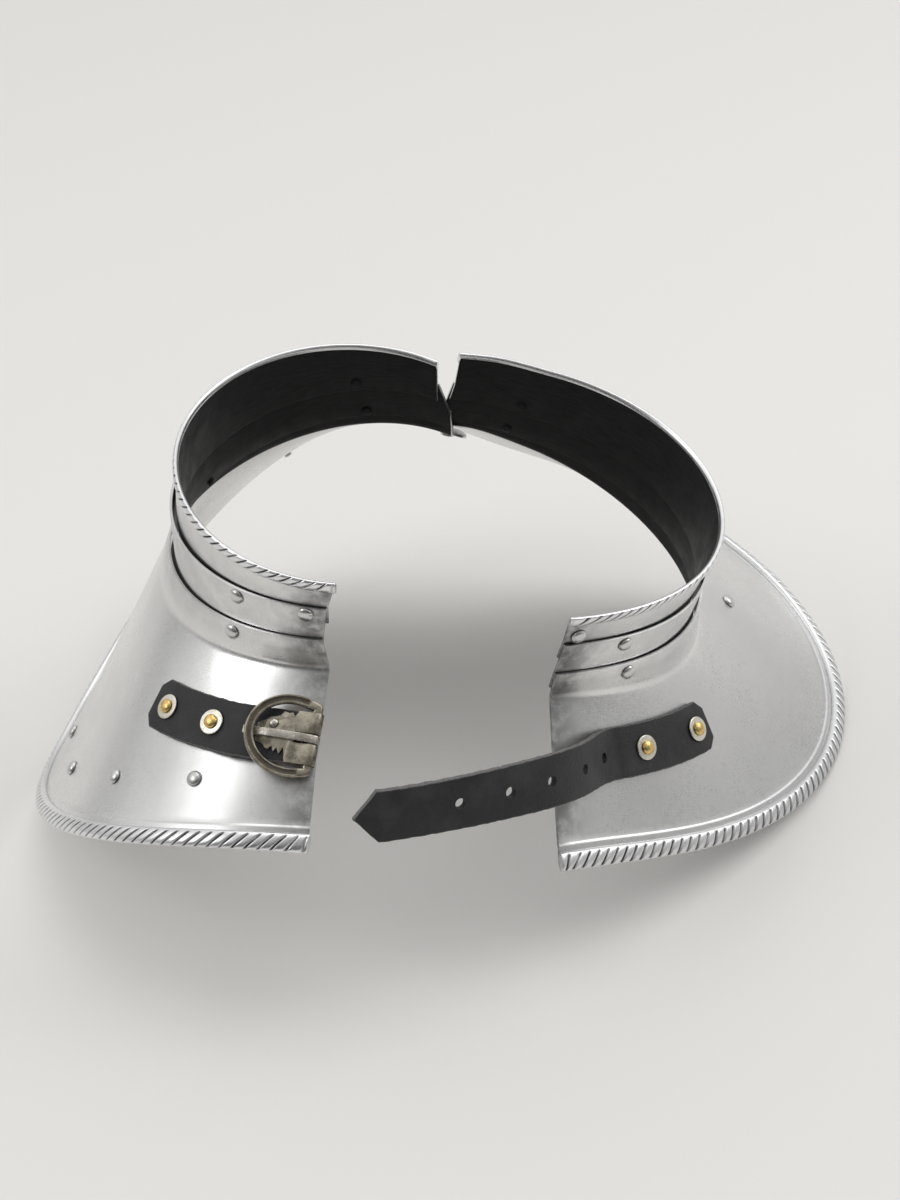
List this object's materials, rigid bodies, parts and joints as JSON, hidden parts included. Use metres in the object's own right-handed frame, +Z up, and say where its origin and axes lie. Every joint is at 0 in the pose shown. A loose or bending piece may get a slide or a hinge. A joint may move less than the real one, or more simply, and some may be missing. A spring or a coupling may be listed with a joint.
{
  "type": "gorget",
  "caption": "Steel gorget, opened on its shoulder pivot, with a flared base plate, a laminated neck and a leather strap and buckle.",
  "frame": {"origin": "centre of the bounding box, on the floor", "axes": "+Z up with the opened gorget resting on its hems, -Y towards the open side and its straps, +X towards the back half, whose strap has the holes"},
  "size_m": [0.3706, 0.322, 0.1884],
  "materials": {
    "steel": "satin",
    "leather": "matte",
    "brass": "satin",
    "pale_brass": "satin",
    "antique_nickel": "satin"
  },
  "bodies": {
    "front_half": {"front_top_lame": "steel", "front_middle_lame": "steel", "front_base_plate": "steel", "front_lame_rivet_1": "steel", "front_lame_rivet_2": "steel", "front_lame_rivet_3": "steel", "front_lame_rivet_4": "steel", "front_lame_rivet_5": "steel", "front_lame_rivet_6": "steel", "front_plate_rivet_1": "steel", "front_plate_rivet_2": "steel", "front_plate_rivet_3": "steel", "front_plate_rivet_4": "steel", "front_plate_rivet_5": "steel", "pivot_rivet": "steel", "buckle_strap": "leather", "strap_rivet_1": "brass", "strap_rivet_2": "brass", "strap_washer_1": "pale_brass", "strap_washer_2": "pale_brass", "buckle_chape": "antique_nickel", "chape_rivet": "antique_nickel"},
    "back_half": {"back_top_lame": "steel", "back_middle_lame": "steel", "back_base_plate": "steel", "back_lame_rivet_1": "steel", "back_lame_rivet_2": "steel", "back_lame_rivet_3": "steel", "back_lame_rivet_4": "steel", "back_plate_rivet_1": "steel", "back_plate_rivet_2": "steel", "hole_strap": "leather", "strap_rivet_3": "brass", "strap_rivet_4": "brass", "strap_washer_3": "pale_brass", "strap_washer_4": "pale_brass"},
    "buckle_frame": {"buckle_frame": "antique_nickel"},
    "buckle_prong": {"buckle_prong": "antique_nickel"}
  },
  "joints": [
    {"name": "shoulder_pivot", "type": "hinge", "parent": "front_half", "child": "back_half", "pos_m": [0.00903, 0.08148, 0.13], "axis": [0.2208, 0.2956, 0.9294], "range_deg": [-20, 3]},
    {"name": "buckle_frame_hinge", "type": "hinge", "parent": "front_half", "child": "buckle_frame", "pos_m": [-0.04886, -0.10777, 0.10329], "axis": [0.2182, 0.7614, 0.6105], "range_deg": [0, 175]},
    {"name": "buckle_prong_hinge", "type": "hinge", "parent": "front_half", "child": "buckle_prong", "pos_m": [-0.04886, -0.10777, 0.10329], "axis": [0.2182, 0.7614, 0.6105], "range_deg": [0, 175]}
  ],
  "couplings": [
    {"joint": "buckle_prong_hinge", "follows": "buckle_frame_hinge", "ratio": 1}
  ]
}
